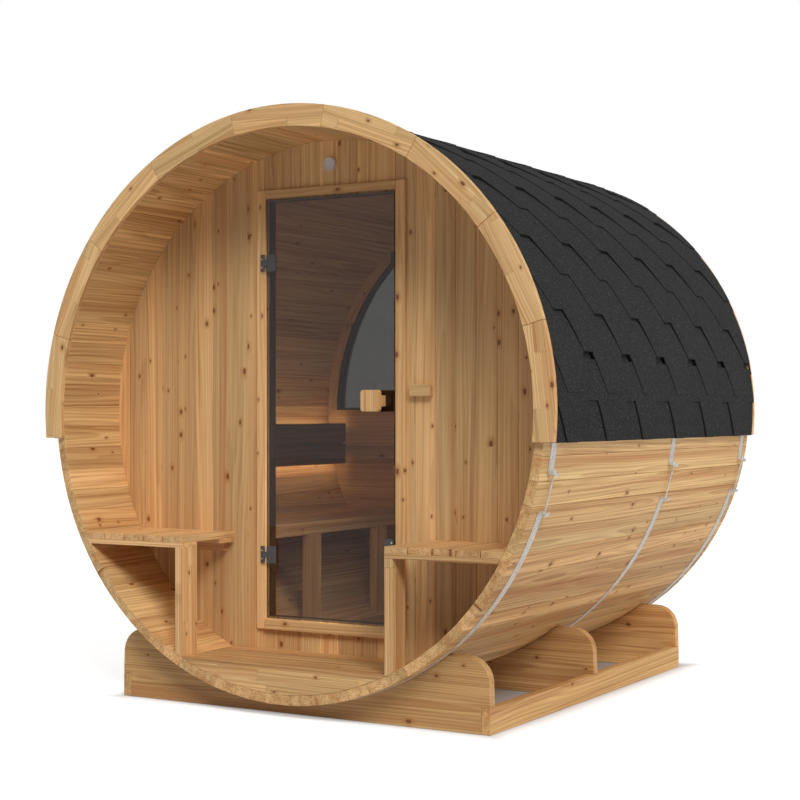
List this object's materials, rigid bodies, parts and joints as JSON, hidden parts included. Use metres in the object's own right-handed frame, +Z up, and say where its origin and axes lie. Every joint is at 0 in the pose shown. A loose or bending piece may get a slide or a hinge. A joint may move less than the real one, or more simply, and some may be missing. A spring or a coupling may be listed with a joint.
{
  "type": "barrel sauna",
  "caption": "Barrel sauna: a lying stave barrel with shingled roof, open porch with two seats, hinged glass door, rear half-moon window, steel bands and a timber cradle.",
  "frame": {"origin": "on the ground under the middle of the barrel", "axes": "+X to the right seen from the porch, +Y from the porch to the rear, +Z up"},
  "size_m": [2.3118, 2.18, 2.3168],
  "materials": {
    "stave_wood": "oiled softwood",
    "trim_wood": "planed softwood",
    "wall_wood": "planed softwood",
    "seat_wood": "planed softwood",
    "cradle_wood": "planed softwood",
    "knob_wood": "sanded softwood",
    "dark_wood": "heat treated",
    "shingle": "mineral granules on bitumen",
    "band_steel": "satin",
    "hinge_metal": "satin dark grey",
    "smoked_glass": "smoked, clear",
    "window_glass": "tinted, clear",
    "light_strip": "frosted cover, warm light",
    "vent_plastic": "light grey"
  },
  "bodies": {
    "sauna": {"backrest_lights": "light_strip", "band_front": "band_steel", "band_middle": "band_steel", "band_rear": "band_steel", "bearer_front": "cradle_wood", "bearer_middle": "cradle_wood", "bearer_rear": "cradle_wood", "catch_housing": "hinge_metal", "door_frame": "trim_wood", "front_trim": "trim_wood", "front_wall_above_door": "wall_wood", "front_wall_below_door": "wall_wood", "front_wall_left": "wall_wood", "front_wall_right": "wall_wood", "hinge_leaves": "hinge_metal", "porch_deck": "seat_wood", "porch_fascia": "seat_wood", "porch_seat_left": "seat_wood", "porch_seat_legs": "seat_wood", "porch_seat_right": "seat_wood", "rails": "cradle_wood", "rear_trim": "trim_wood", "rear_wall_lower": "wall_wood", "rear_wall_upper": "wall_wood", "roof_left": "shingle", "roof_right": "shingle", "sauna_backrest": "dark_wood", "sauna_bench": "seat_wood", "sauna_bench_posts": "seat_wood", "sauna_floor": "seat_wood", "staves_bottom": "stave_wood", "staves_left": "stave_wood", "staves_lower_left": "stave_wood", "staves_lower_right": "stave_wood", "staves_right": "stave_wood", "staves_upper_left": "stave_wood", "staves_upper_right": "stave_wood", "vent_cap": "vent_plastic", "vent_slide": "trim_wood", "window_frame": "dark_wood", "window_glass": "window_glass"},
    "door": {"glass_door": "smoked_glass", "hinge_plates": "hinge_metal", "door_knob_outer": "knob_wood", "door_knob_inner": "dark_wood", "catch_plate": "hinge_metal"}
  },
  "joints": [
    {"name": "door_hinge", "type": "hinge", "parent": "sauna", "child": "door", "pos_m": [-0.301, -0.7453, 1.161], "axis": [0, 0, 1], "range_deg": [-95, 0]}
  ]
}
